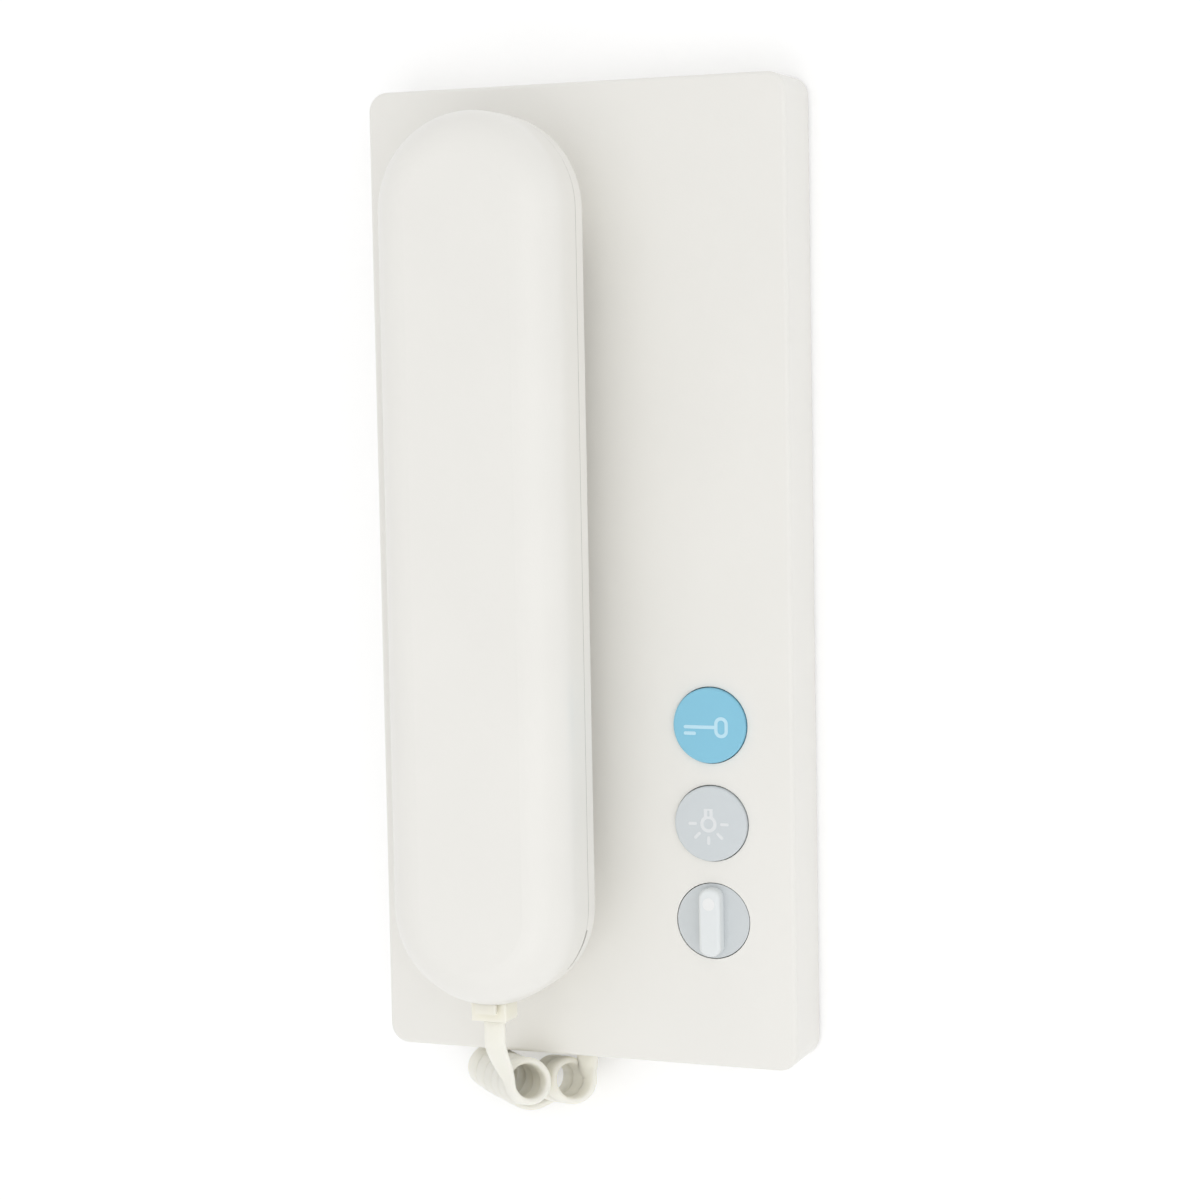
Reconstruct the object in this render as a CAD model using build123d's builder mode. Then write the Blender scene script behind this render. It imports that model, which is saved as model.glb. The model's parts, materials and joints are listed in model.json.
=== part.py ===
from build123d import *
import math
import os

os.makedirs("parts", exist_ok=True)

# Wall audio intercom with a corded handset, in millimetres.
# The origin is the centre of the wall face, +X is right, +Y goes into the wall and +Z is up.
# Depths are measured forward from the wall, so a depth D lies at Y = -D.

# Front housing
PANEL_WIDTH = 91.0
PANEL_HEIGHT = 201.0
PANEL_DEPTH = 15.5
PANEL_CORNER = 4.0
PANEL_EDGE = 0.9
SKIN = 2.2
OVERRUN = 2.0

# Wall plate
PLATE_THICKNESS = 2.0
PLATE_GAP = 0.3
CABLE_HOLE = 26.0
CABLE_HOLE_DROP = 38.5
WALL_SCREW_SPACING = 60.0
WALL_SCREW_RISE = 12.5
WALL_SCREW_RADIUS = 2.1
LUG_WIDTH = 10.0
LUG_INSET = 25.5
LUG_REACH = 1.4
LUG_LOW = 0.5
LUG_CLEARANCE = 0.3

# Controls on the right of the panel
CONTROL_INSET = 17.5
KEY_RISE = 70.5
CONTROL_PITCH = 20.1
CONTROL_RADIUS = 7.7
CONTROL_GAP = 0.2
CONTROL_SUNK = 3.0
BUTTON_PROUD = 1.0
BUTTON_TRAVEL = 1.2
BUTTON_WALL = 1.4
BUTTON_EDGE = 0.35
FLANGE_LIP = 1.2
FLANGE_THICKNESS = 0.8
FLANGE_PLAY = 0.4
STEM_RADIUS = 1.5
PRESS_GAP = 0.15
ICON_HEIGHT = 0.06
ICON_SINK = 0.3
ICON_STROKE = 0.7
KEY_LEFT = -5.4
KEY_SHAFT_Z = -0.3
KEY_BIT_Z = -1.6
KEY_BIT_LENGTH = 2.6
KEY_RING_X = 2.6
KEY_RING_WIDTH = 2.9
KEY_RING_HEIGHT = 4.3
BULB_X = -0.4
BULB_RADIUS = 1.75
CAP_WIDTH = 1.9
CAP_TOP = 3.1
RAY_START = 2.5
RAY_END = 4.3
DISC_SINK = 0.1
BAR_WIDTH = 4.6
BAR_LENGTH = 14.0
BAR_HEIGHT = 3.0
BAR_EDGE = 0.7
DOT_RADIUS = 1.3
DOT_HEIGHT_ON_BAR = 3.9
HUB_RADIUS = 3.5
HUB_LENGTH = 2.1
SHAFT_RADIUS = 1.5
SHAFT_SHORTER = 0.9
SHAFT_FIT = 0.06
SPRING_RADIUS = 5.3
SPRING_WIRE = 0.6
SPRING_TURNS = 5

# Handset outline
HANDSET_X = -12.6
HANDSET_Z = 4.25
HANDSET_WIDTH = 39.4
HANDSET_SHORTER = 22.0
FINGER_ROOM = 7.5
BACK_SLOPE = 5.0
BACK_STRAIGHT = 3.5
SEAM_GAP = 0.3
COVER_STRAIGHT = 5.7
SHOULDER_RADIUS = 8.5
HANDSET_WALL = 2.0
BACK_INSET = 0.1
BACK_FLOOR_INSET = 3.4
CUP_RADIUS = 13.2
CUP_WALL = 1.8
CUP_EDGE = 1.0
CUP_SEAT_GAP = 0.3
PRY_SLOT_LENGTH = 9.5
PRY_SLOT_HEIGHT = 0.9
PRY_SLOT_ANGLE = -28.0
SOUND_HOLE = 0.8
SOUND_PITCH = 3.2
HANDSET_SCREW_OFFSET = 34.0
BOSS_RADIUS = 3.4
SCREW_SHANK = 1.0
SCREW_HEAD = 2.3
SCREW_HEAD_HEIGHT = 1.6
THREAD_FIT = 0.05
SCREW_REACH = 12.0

# Cradle wells in the housing
WELL_DEPTH = 4.0
WELL_GAP = 0.8
WELL_WALL = 2.0

# Modular plugs and sockets
PLUG_WIDTH = 7.65
PLUG_THICKNESS = 6.2
PLUG_LENGTH = 14.0
PLUG_EDGE = 0.3
LATCH_WIDTH = 4.4
LATCH_THICKNESS = 0.8
LATCH_SPRING = 0.75
LATCH_TIP = 1.8
LATCH_ROOT = 1.5
PLUG_FIT = 0.2
SOCKET_WALL = 1.2
SOCKET_LENGTH = 13.0
SOCKET_SETBACK = 5.2
PLUG_SEAM_OVERLAP = 0.1
HANDSET_PLUG_SHOWN = 3.5
BASE_PLUG_X = -2.9
BASE_PLUG_SHOWN = 0.5

# Curly cord: wire, coil and the two legs of the bunch under the panel.
# Each leg's axis is a curve from its near end over a control point to its far end.
# The left leg's near end is given from the handset plug's end, all else from the base plug's end.
WIRE = 3.2
COIL_RADIUS = 3.9
LEFT_QUARTERS = 21
RIGHT_QUARTERS = 9
LEFT_NEAR = (3.0, 10.1, -14.45)
LEFT_BEND = (-13.4, -8.4, -6.2)
LEFT_FAR = (-22.5, 1.2, -7.4)
RIGHT_FAR = (-9.9, 2.9, -8.2)
RIGHT_BEND = (-5.8, -0.5, -7.2)
RIGHT_NEAR = (-2.0, -3.5, -6.2)
BRIDGE = (-16.7, 3.8, -13.6)

# Things inside the base
BOARD_BACK = 3.4
BOARD_THICKNESS = 1.6
BOARD_LEFT_INSET = 11.5
BOARD_RIGHT_INSET = 3.5
BOARD_RISE = 20.5
BOARD_DROP = 58.5
POST_RADIUS = 3.0
POST_INSET = 4.0
BOARD_SCREW_RADIUS = 1.2
BOARD_SCREW_HEAD = 2.4
BOARD_SCREW_HEIGHT = 1.6
PILOT_FLOOR = 0.6
SPEAKER_RADIUS = 17.0
SPEAKER_BELOW_TERMINAL = 30.5
SPEAKER_GAP = 0.3
SPEAKER_RIM = 1.0
SPEAKER_BOWL = 3.4
MAGNET_RADIUS = 9.0
RING_GAP = 0.3
RING_WALL = 1.5
RING_HEIGHT = 3.8
GRILLE_SLOT = 1.6
GRILLE_LENGTH = 18.0
GRILLE_PITCH = 3.4
GRILLE_COUNT = 5
HOOK_INSIDE_CUP = 0.4
HOOK_RADIUS = 2.3
HOOK_FIT = 0.08
HOOK_FLANGE = 3.6
HOOK_FLANGE_THICKNESS = 1.0
HOOK_BACK = 5.4
HOOK_TRAVEL = 2.9
HOOK_SPRING_RADIUS = 2.5
HOOK_SPRING_WIRE = 0.45
HOOK_SPRING_TURNS = 3
SWITCH_SIZE = 6.0
SWITCH_HEIGHT = 3.5
SWITCH_NUB = 1.6
SWITCH_NUB_HEIGHT = 0.8
CONTROL_BOX = 10.0
HUB_CLEARANCE = 0.3
BUSH_RADIUS = 3.0
BUSH_HEIGHT = 0.5
TERMINAL_WIDTH = 36.0
TERMINAL_CLEARANCE = 1.6
TERMINAL_DROP = 7.5
TERMINAL_DEEP = 9.0
TERMINAL_ROOM = 0.8
TERMINAL_SCREW_DEPTH = 2.7
TERMINAL_COUNT = 8
TERMINAL_HOLE = 2.4
TERMINAL_SCREW = 1.4
HOUSING_SCREW_INSET = 20.5
HOUSING_SCREW_DEPTH = 7.0
HOUSING_SCREW_RADIUS = 1.45
HOUSING_SCREW_HEAD = 2.8
HOUSING_SCREW_LENGTH = 11.0
BOSS_SIZE = 8.0
RIB = 1.5

# Things inside the handset
CAPSULE_RIM = 3.0
CAPSULE_LIP = 2.6
CAPSULE_HEIGHT = 8.0
GASKET_THICKNESS = 1.0
GASKET_WIDTH = 3.5
MIC_RADIUS = 4.85
MIC_HEIGHT = 6.5
BOOT_RADIUS = 6.5
BOOT_HEIGHT = 8.0
BOOT_FLOOR = 1.0
BOOT_PORT = 2.0
BOOT_RING_HEIGHT = 3.4
SOFT_GAP = 0.3
WEIGHT_WIDTH = 12.0
WEIGHT_LENGTH = 40.0
WEIGHT_THICKNESS = 3.0
LEAD = 1.6
LEAD_SIDE = 9.0
LEAD_BEHIND_PLUG = 2.4
LEAD_BEND = 3.0
LEAD_EXIT = 3.5

# Sizes that follow from the values above
PANEL_RIGHT = PANEL_WIDTH / 2
PANEL_TOP = PANEL_HEIGHT / 2
CABLE_HOLE_Z = PANEL_TOP - CABLE_HOLE_DROP
WALL_SCREW_LOW_Z = WALL_SCREW_RISE - PANEL_TOP
LUG_X = PANEL_RIGHT - LUG_INSET
HOUSING_SCREW_X = PANEL_RIGHT - HOUSING_SCREW_INSET
BOARD_LEFT = BOARD_LEFT_INSET - PANEL_RIGHT
BOARD_RIGHT = PANEL_RIGHT - BOARD_RIGHT_INSET
BOARD_BOTTOM = BOARD_RISE - PANEL_TOP
BOARD_TOP = PANEL_TOP - BOARD_DROP
TERMINAL_RIGHT = BOARD_RIGHT - POST_INSET - BOARD_SCREW_HEAD - TERMINAL_CLEARANCE
TERMINAL_X = TERMINAL_RIGHT - TERMINAL_WIDTH / 2
TERMINAL_Z = BOARD_TOP - TERMINAL_DROP
SPEAKER_Z = TERMINAL_Z - SPEAKER_BELOW_TERMINAL
CONTROL_X = PANEL_RIGHT - CONTROL_INSET
KEY_Z = KEY_RISE - PANEL_TOP
KEY_CENTRE = (CONTROL_X, KEY_Z)
LIGHT_CENTRE = (CONTROL_X, KEY_Z - CONTROL_PITCH)
KNOB_CENTRE = (CONTROL_X, KEY_Z - CONTROL_PITCH * 2)
INNER_FACE = PANEL_DEPTH - SKIN
BUTTON_FACE = PANEL_DEPTH + BUTTON_PROUD
CONTROL_BASE = PANEL_DEPTH - CONTROL_SUNK
HUB_BASE = CONTROL_BASE - HUB_LENGTH
SHAFT_TOP = PANEL_DEPTH - SHAFT_SHORTER
SPEAKER_FLANGE = INNER_FACE - SPEAKER_GAP
SPEAKER_STEP = SPEAKER_FLANGE - SPEAKER_RIM
SPEAKER_FLOOR = SPEAKER_STEP - SPEAKER_BOWL
BUTTON_HOLLOW = BUTTON_FACE - BUTTON_WALL
BOARD_FRONT = BOARD_BACK + BOARD_THICKNESS
SWITCH_TOP = BOARD_FRONT + SWITCH_HEIGHT + SWITCH_NUB_HEIGHT
END_RADIUS = HANDSET_WIDTH / 2
HANDSET_LENGTH = PANEL_HEIGHT - HANDSET_SHORTER
HANDSET_END = HANDSET_Z - HANDSET_LENGTH / 2
EAR_Z = HANDSET_Z + HANDSET_LENGTH / 2 - END_RADIUS
MOUTH_Z = HANDSET_END + END_RADIUS
BACK_FLOOR = PANEL_DEPTH + FINGER_ROOM
BACK_RIM = BACK_FLOOR + BACK_SLOPE
SEAM_DEPTH = BACK_RIM + BACK_STRAIGHT + SEAM_GAP
COVER_SIDE = SEAM_DEPTH + COVER_STRAIGHT
HANDSET_FRONT = COVER_SIDE + SHOULDER_RADIUS
CAPSULE_RADIUS = CUP_RADIUS - CUP_WALL - SOFT_GAP
CAPSULE_BODY_RADIUS = CAPSULE_RADIUS - CAPSULE_LIP
GASKET_INNER = CAPSULE_RADIUS - GASKET_WIDTH
HANDSET_PLUG_DEPTH = SEAM_DEPTH - PLUG_SEAM_OVERLAP + PLUG_FIT + PLUG_THICKNESS / 2
HANDSET_PLUG_Z = HANDSET_END - HANDSET_PLUG_SHOWN
HANDSET_SOCKET_Z = HANDSET_END + SOCKET_SETBACK
BASE_PLUG_Z = -PANEL_TOP - BASE_PLUG_SHOWN
LEAD_DEPTH = HANDSET_PLUG_DEPTH - LEAD_BEHIND_PLUG
BASE_PLUG_DEPTH = INNER_FACE - SOCKET_WALL - PLUG_FIT - PLUG_THICKNESS / 2
WELL_FLOOR = PANEL_DEPTH - WELL_DEPTH
WELL_RADIUS = CUP_RADIUS + WELL_GAP
CUP_FACE = WELL_FLOOR + CUP_SEAT_GAP
CUP_FLOOR = CUP_FACE + CUP_WALL
BACK_TOP = SEAM_DEPTH - SEAM_GAP
BACK_INNER = BACK_FLOOR + HANDSET_WALL
COVER_INNER = HANDSET_FRONT - HANDSET_WALL
HOOK_Z = MOUTH_Z + CUP_RADIUS - CUP_EDGE - HOOK_RADIUS - HOOK_INSIDE_CUP
WALL_SCREW_Z = (CABLE_HOLE_Z + WALL_SCREW_LOW_Z) / 2
WALL_SCREW_HEIGHT = CABLE_HOLE_Z - WALL_SCREW_LOW_Z


def at_depth(depth):
    """Sketch plane parallel to the wall; extrusions from it go forward."""
    return Plane.XZ.offset(depth)


def block(x, z, width, height, low, high, mode=Mode.ADD):
    """A plain box between two depths, centred on x and z."""
    with BuildSketch(at_depth(low)) as outline:
        with Locations((x, z)):
            Rectangle(width, height)
    extrude(outline.sketch, amount=high - low, mode=mode)


def disc(x, z, radius, low, high, mode=Mode.ADD):
    """A round boss or hole between two depths, centred on x and z."""
    with BuildSketch(at_depth(low)) as outline:
        with Locations((x, z)):
            Circle(radius)
    extrude(outline.sketch, amount=high - low, mode=mode)


def finish(builder, name):
    """Label the sub-part and write its STEP file."""
    builder.part.label = name
    export_step(builder.part, f"parts/{name}.step")


# Housing: a shallow tray with two cradle wells, control holes and a speaker seat
def cradle_well(z):
    disc(HANDSET_X, z, WELL_RADIUS + WELL_WALL, WELL_FLOOR - WELL_WALL, PANEL_DEPTH - PANEL_EDGE)
    disc(HANDSET_X, z, WELL_RADIUS, WELL_FLOOR, PANEL_DEPTH + OVERRUN, mode=Mode.SUBTRACT)


with BuildPart() as housing:
    with BuildSketch(at_depth(0)):
        RectangleRounded(PANEL_WIDTH, PANEL_HEIGHT, PANEL_CORNER)
    extrude(amount=PANEL_DEPTH)
    fillet(housing.faces().sort_by(Axis.Y)[0].edges(), PANEL_EDGE)
    with BuildSketch(at_depth(0)):
        RectangleRounded(PANEL_WIDTH - SKIN * 2, PANEL_HEIGHT - SKIN * 2, PANEL_CORNER - SKIN)
    extrude(amount=INNER_FACE, mode=Mode.SUBTRACT)
    cradle_well(EAR_Z)
    cradle_well(MOUTH_Z)
    for control in (KEY_CENTRE, LIGHT_CENTRE, KNOB_CENTRE):
        disc(*control, CONTROL_RADIUS + CONTROL_GAP, 0, PANEL_DEPTH + OVERRUN, mode=Mode.SUBTRACT)
    disc(HANDSET_X, HOOK_Z, HOOK_RADIUS + HOOK_FIT, 0, PANEL_DEPTH, mode=Mode.SUBTRACT)
    ring_inner = SPEAKER_RADIUS + RING_GAP
    with BuildSketch(at_depth(INNER_FACE - RING_HEIGHT)):
        with Locations((HANDSET_X, SPEAKER_Z)):
            Circle(ring_inner + RING_WALL)
            Circle(ring_inner, mode=Mode.SUBTRACT)
    extrude(amount=RING_HEIGHT)
    with BuildSketch(at_depth(0)):
        with Locations((HANDSET_X, SPEAKER_Z)):
            with GridLocations(0, GRILLE_PITCH, 1, GRILLE_COUNT):
                SlotOverall(GRILLE_LENGTH, GRILLE_SLOT)
    extrude(amount=PANEL_DEPTH + OVERRUN, mode=Mode.SUBTRACT)
    for side in (-1, 1):
        block(side * LUG_X, PANEL_HEIGHT / 2 - SKIN, LUG_WIDTH + LUG_CLEARANCE * 2,
              (LUG_REACH + LUG_CLEARANCE) * 2, LUG_LOW - LUG_CLEARANCE,
              PLATE_THICKNESS + LUG_CLEARANCE, mode=Mode.SUBTRACT)
    block(BASE_PLUG_X, -PANEL_HEIGHT / 2, PLUG_WIDTH + PLUG_FIT * 2, SKIN * 4,
          BASE_PLUG_DEPTH - PLUG_THICKNESS / 2 - LATCH_SPRING - LATCH_THICKNESS - PLUG_FIT,
          BASE_PLUG_DEPTH + PLUG_THICKNESS / 2 + PLUG_FIT, mode=Mode.SUBTRACT)
    underside = Plane((HOUSING_SCREW_X, -HOUSING_SCREW_DEPTH, -PANEL_HEIGHT / 2), z_dir=(0, 0, -1))
    with Locations(underside):
        CounterSinkHole(HOUSING_SCREW_RADIUS + THREAD_FIT * 2, HOUSING_SCREW_HEAD + THREAD_FIT,
                        depth=SKIN + OVERRUN)
finish(housing, "housing")


# Wall plate: screw holes, cable hole, board posts, hanging lugs and the socket's cradle
board_posts = [
    (BOARD_LEFT + POST_INSET, BOARD_TOP - POST_INSET),
    (BOARD_RIGHT - POST_INSET, BOARD_TOP - POST_INSET),
    (BOARD_LEFT + POST_INSET, BOARD_BOTTOM + POST_INSET),
    (BOARD_RIGHT - POST_INSET, BOARD_BOTTOM + POST_INSET),
]
plate_width = PANEL_WIDTH - (SKIN + PLATE_GAP) * 2
plate_height = PANEL_HEIGHT - (SKIN + PLATE_GAP) * 2
socket_width = PLUG_WIDTH + (PLUG_FIT + SOCKET_WALL) * 2
cradle_side = socket_width / 2 + RIB / 2 + THREAD_FIT

with BuildPart() as wall_plate:
    with BuildSketch(at_depth(0)):
        RectangleRounded(plate_width, plate_height, PANEL_CORNER - SKIN)
    extrude(amount=PLATE_THICKNESS)
    for side in (-1, 1):
        block(side * LUG_X, plate_height / 2, LUG_WIDTH, LUG_REACH * 2, LUG_LOW, PLATE_THICKNESS)
        block(BASE_PLUG_X + side * cradle_side, BASE_PLUG_Z + PLUG_LENGTH - RIB, RIB, SOCKET_LENGTH / 2,
              PLATE_THICKNESS, BASE_PLUG_DEPTH)
    for x, z in board_posts:
        disc(x, z, POST_RADIUS, PLATE_THICKNESS, BOARD_BACK)
        disc(x, z, BOARD_SCREW_RADIUS + THREAD_FIT, PILOT_FLOOR, BOARD_BACK + OVERRUN, mode=Mode.SUBTRACT)
    disc(HANDSET_X, HOOK_Z, HOOK_SPRING_RADIUS - HOOK_SPRING_WIRE * 2, PLATE_THICKNESS, BOARD_BACK)
    block(HOUSING_SCREW_X, -plate_height / 2 + BOSS_SIZE / 2, BOSS_SIZE, BOSS_SIZE, PLATE_THICKNESS,
          HOUSING_SCREW_DEPTH + BOSS_SIZE / 2)
    with Locations(Plane((HOUSING_SCREW_X, -HOUSING_SCREW_DEPTH, -plate_height / 2), z_dir=(0, 0, -1))):
        Hole(HOUSING_SCREW_RADIUS + THREAD_FIT, depth=BOSS_SIZE + OVERRUN)
    block(0, CABLE_HOLE_Z, CABLE_HOLE, CABLE_HOLE, 0, PLATE_THICKNESS, mode=Mode.SUBTRACT)
    for x in (-WALL_SCREW_SPACING / 2, WALL_SCREW_SPACING / 2):
        for z in (CABLE_HOLE_Z, WALL_SCREW_LOW_Z):
            disc(x, z, WALL_SCREW_RADIUS, 0, PLATE_THICKNESS, mode=Mode.SUBTRACT)
finish(wall_plate, "wall_plate")


with BuildPart() as housing_screw:
    head_height = HOUSING_SCREW_HEAD - HOUSING_SCREW_RADIUS
    screw_base = Plane((HOUSING_SCREW_X, -HOUSING_SCREW_DEPTH, -PANEL_HEIGHT / 2))
    with BuildSketch(screw_base):
        Circle(HOUSING_SCREW_RADIUS)
    extrude(amount=HOUSING_SCREW_LENGTH)
    with BuildSketch(screw_base):
        Circle(HOUSING_SCREW_HEAD)
    extrude(amount=head_height, taper=45)
    with BuildSketch(screw_base):
        Rectangle(HOUSING_SCREW_HEAD, THREAD_FIT * 12)
        Rectangle(THREAD_FIT * 12, HOUSING_SCREW_HEAD)
    extrude(amount=head_height / 2, mode=Mode.SUBTRACT)
finish(housing_screw, "housing_screw")


# Circuit board and what is soldered to it
board_width = BOARD_RIGHT - BOARD_LEFT
board_height = BOARD_TOP - BOARD_BOTTOM
board_x = (BOARD_LEFT + BOARD_RIGHT) / 2
board_z = (BOARD_BOTTOM + BOARD_TOP) / 2

with BuildPart() as main_board:
    block(board_x, board_z, board_width, board_height, BOARD_BACK, BOARD_FRONT)
    for x, z in board_posts:
        disc(x, z, BOARD_SCREW_RADIUS + CONTROL_GAP, 0, BOARD_FRONT, mode=Mode.SUBTRACT)
    disc(HANDSET_X, HOOK_Z, HOOK_FLANGE + WELL_GAP, 0, BOARD_FRONT, mode=Mode.SUBTRACT)
finish(main_board, "main_board")

with BuildPart() as board_screws:
    for x, z in board_posts:
        disc(x, z, BOARD_SCREW_RADIUS, PILOT_FLOOR + THREAD_FIT, BOARD_FRONT)
        disc(x, z, BOARD_SCREW_HEAD, BOARD_FRONT, BOARD_FRONT + BOARD_SCREW_HEIGHT)
        block(x, z, BOARD_SCREW_HEAD, BOARD_SCREW_RADIUS / 2, BOARD_FRONT + BOARD_SCREW_HEIGHT / 2,
              BOARD_FRONT + BOARD_SCREW_HEIGHT, mode=Mode.SUBTRACT)
finish(board_screws, "board_screws")

terminal_step = TERMINAL_WIDTH / TERMINAL_COUNT
terminal_top = INNER_FACE - TERMINAL_ROOM
screw_floor = terminal_top - TERMINAL_SCREW_DEPTH
terminal_places = [
    TERMINAL_X - TERMINAL_WIDTH / 2 + terminal_step * (index + 0.5) for index in range(TERMINAL_COUNT)
]

with BuildPart() as terminal_block:
    block(TERMINAL_X, TERMINAL_Z, TERMINAL_WIDTH, TERMINAL_DEEP, BOARD_FRONT, terminal_top)
    for x in terminal_places:
        disc(x, TERMINAL_Z, TERMINAL_SCREW + THREAD_FIT, screw_floor, terminal_top, mode=Mode.SUBTRACT)
        block(x, TERMINAL_Z + TERMINAL_DEEP / 2, TERMINAL_HOLE, TERMINAL_DEEP, BOARD_FRONT + TERMINAL_HOLE / 2,
              BOARD_FRONT + TERMINAL_HOLE * 1.5, mode=Mode.SUBTRACT)
finish(terminal_block, "terminal_block")

with BuildPart() as terminal_screws:
    for x in terminal_places:
        disc(x, TERMINAL_Z, TERMINAL_SCREW, screw_floor, terminal_top - TERMINAL_SCREW / 2)
        block(x, TERMINAL_Z, TERMINAL_SCREW * 2, TERMINAL_SCREW / 3, terminal_top - TERMINAL_SCREW,
              terminal_top, mode=Mode.SUBTRACT)
finish(terminal_screws, "terminal_screws")

# Chips: places as shares of the board's width and height, sizes as shares of the largest chip
CHIP_PLACE_SHARES = [(0.58, 0.59), (0.63, 0.77), (0.47, 0.35)]
CHIP_SIZE_SHARES = [(1.0, 0.7), (0.5, 0.6), (0.8, 0.5)]
CHIP_SIZE = 10.0
CHIP_THICKNESS = 1.5
CAPACITOR_SPREAD = 6.0
CAPACITOR_RADIUS = 4.0
CAPACITOR_ROOM = 0.9

free_z = (KEY_Z + TERMINAL_Z) / 2

with BuildPart() as board_chips:
    for (across, up), (long, wide) in zip(CHIP_PLACE_SHARES, CHIP_SIZE_SHARES):
        block(BOARD_LEFT + across * board_width, BOARD_BOTTOM + up * board_height, CHIP_SIZE * long,
              CHIP_SIZE * wide, BOARD_FRONT, BOARD_FRONT + CHIP_THICKNESS)
finish(board_chips, "board_chips")

with BuildPart() as capacitors:
    for side in (-1, 1):
        disc(CONTROL_X + side * CAPACITOR_SPREAD, free_z, CAPACITOR_RADIUS, BOARD_FRONT,
             INNER_FACE - CAPACITOR_ROOM)
    fillet(capacitors.faces().group_by(Axis.Y)[0].edges(), THREAD_FIT * 10)
finish(capacitors, "capacitors")

with BuildPart() as button_switches:
    for x, z in (KEY_CENTRE, LIGHT_CENTRE):
        block(x, z, SWITCH_SIZE, SWITCH_SIZE, BOARD_FRONT, BOARD_FRONT + SWITCH_HEIGHT)
        disc(x, z, SWITCH_NUB, BOARD_FRONT, SWITCH_TOP)
finish(button_switches, "button_switches")

with BuildPart() as hook_switch:
    block(HANDSET_X + HOOK_FLANGE + SWITCH_SIZE / 2 + WELL_GAP, HOOK_Z, SWITCH_SIZE, SWITCH_SIZE,
          BOARD_FRONT, BOARD_FRONT + SWITCH_HEIGHT)
    block(HANDSET_X + HOOK_FLANGE + SWITCH_SIZE / 2, HOOK_Z, SWITCH_SIZE, SWITCH_NUB,
          BOARD_FRONT + SWITCH_HEIGHT / 2, BOARD_FRONT + SWITCH_HEIGHT)
    disc(HANDSET_X, HOOK_Z, HOOK_FLANGE + CONTROL_GAP, 0, PANEL_DEPTH, mode=Mode.SUBTRACT)
finish(hook_switch, "hook_switch")


# Call loudspeaker behind the slots that the handset covers
def speaker_turned(points):
    """Turn a closed outline of (radius, depth) points about the speaker's axis."""
    centre = Vector(HANDSET_X, 0, SPEAKER_Z)
    with BuildSketch(Plane(centre, x_dir=(1, 0, 0), z_dir=(0, 0, 1))) as outline:
        with BuildLine():
            Polyline([(radius, -depth) for radius, depth in points], close=True)
        make_face()
    revolve(outline.sketch, axis=Axis(centre, (0, 1, 0)))


FOIL = 0.4
DOME_RADIUS = 5.0
DOME_RISE = 0.9
DOME_DEPTH = SPEAKER_FLOOR + DOME_RISE

with BuildPart() as speaker_frame:
    speaker_turned([
        (0, SPEAKER_FLOOR), (MAGNET_RADIUS + FOIL, SPEAKER_FLOOR), (SPEAKER_RADIUS, SPEAKER_STEP),
        (SPEAKER_RADIUS, SPEAKER_FLANGE), (SPEAKER_RADIUS - SKIN, SPEAKER_FLANGE),
        (SPEAKER_RADIUS - SKIN, SPEAKER_STEP), (SPEAKER_RADIUS - SKIN - FOIL * 2, SPEAKER_STEP),
        (MAGNET_RADIUS, SPEAKER_FLOOR + FOIL), (0, SPEAKER_FLOOR + FOIL),
    ])
finish(speaker_frame, "speaker_frame")

with BuildPart() as speaker_cone:
    rim = SPEAKER_RADIUS - SKIN - FOIL / 2
    speaker_turned([
        (0, DOME_DEPTH + FOIL * 2), (DOME_RADIUS, DOME_DEPTH), (rim - RIB, SPEAKER_STEP), (rim, SPEAKER_STEP),
        (rim, SPEAKER_STEP + FOIL), (rim - RIB, SPEAKER_STEP + FOIL), (DOME_RADIUS, DOME_DEPTH + FOIL),
        (0, DOME_DEPTH + FOIL * 3),
    ])
finish(speaker_cone, "speaker_cone")

with BuildPart() as speaker_magnet:
    disc(HANDSET_X, SPEAKER_Z, MAGNET_RADIUS, BOARD_FRONT + RING_GAP, SPEAKER_FLOOR)
finish(speaker_magnet, "speaker_magnet")


# Hook plunger: pushed in by the handset's lower cup
with BuildPart() as hook_plunger:
    disc(HANDSET_X, HOOK_Z, HOOK_FLANGE, HOOK_BACK, HOOK_BACK + HOOK_FLANGE_THICKNESS)
    disc(HANDSET_X, HOOK_Z, HOOK_RADIUS, HOOK_BACK, WELL_FLOOR)
    fillet(hook_plunger.faces().sort_by(Axis.Y)[0].edges(), HOOK_RADIUS / 3)
finish(hook_plunger, "hook_plunger")


def biarc(start, start_dir, end, end_dir):
    """Two arcs that join one point and direction to another; both ends stay tangent."""
    chord = end - start
    both = start_dir + end_dir
    bend = 2 * (start_dir.dot(end_dir) - 1)
    reach = chord.dot(both)
    if abs(bend) < 1e-9:
        size = chord.dot(chord) / (2 * reach)
    else:
        size = (-reach + math.sqrt(reach * reach - bend * chord.dot(chord))) / bend
        size = -size if size < 0 else size
    first = start + start_dir * size
    last = end - end_dir * size
    middle = (first + last) * 0.5
    return middle, (last - first).normalized()


def biarc_edges(stations):
    """Edges of a path through (point, direction) stations, a biarc or a line between each two."""
    edges = []
    for (start, start_dir), (end, end_dir) in zip(stations, stations[1:]):
        chord = (end - start).normalized()
        if chord.dot(start_dir) > 0.999999 and chord.dot(end_dir) > 0.999999:
            edges.append(Edge.make_line(start, end))
            continue
        middle, middle_dir = biarc(start, start_dir, end, end_dir)
        edges.append(Edge.make_tangent_arc(start, start_dir, middle))
        edges.append(Edge.make_tangent_arc(middle, middle_dir, end))
    return edges


def coil_station(near, right, up, along, radius, angle, lead):
    """Point and direction on a coil at an angle in degrees; lead is the run along its axis per turn."""
    turn = math.radians(angle)
    point = near + right * (radius * math.cos(turn)) + up * (radius * math.sin(turn))
    direction = up * math.cos(turn) - right * math.sin(turn) + along * (lead / (2 * math.pi * radius))
    return point, direction.normalized()


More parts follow.
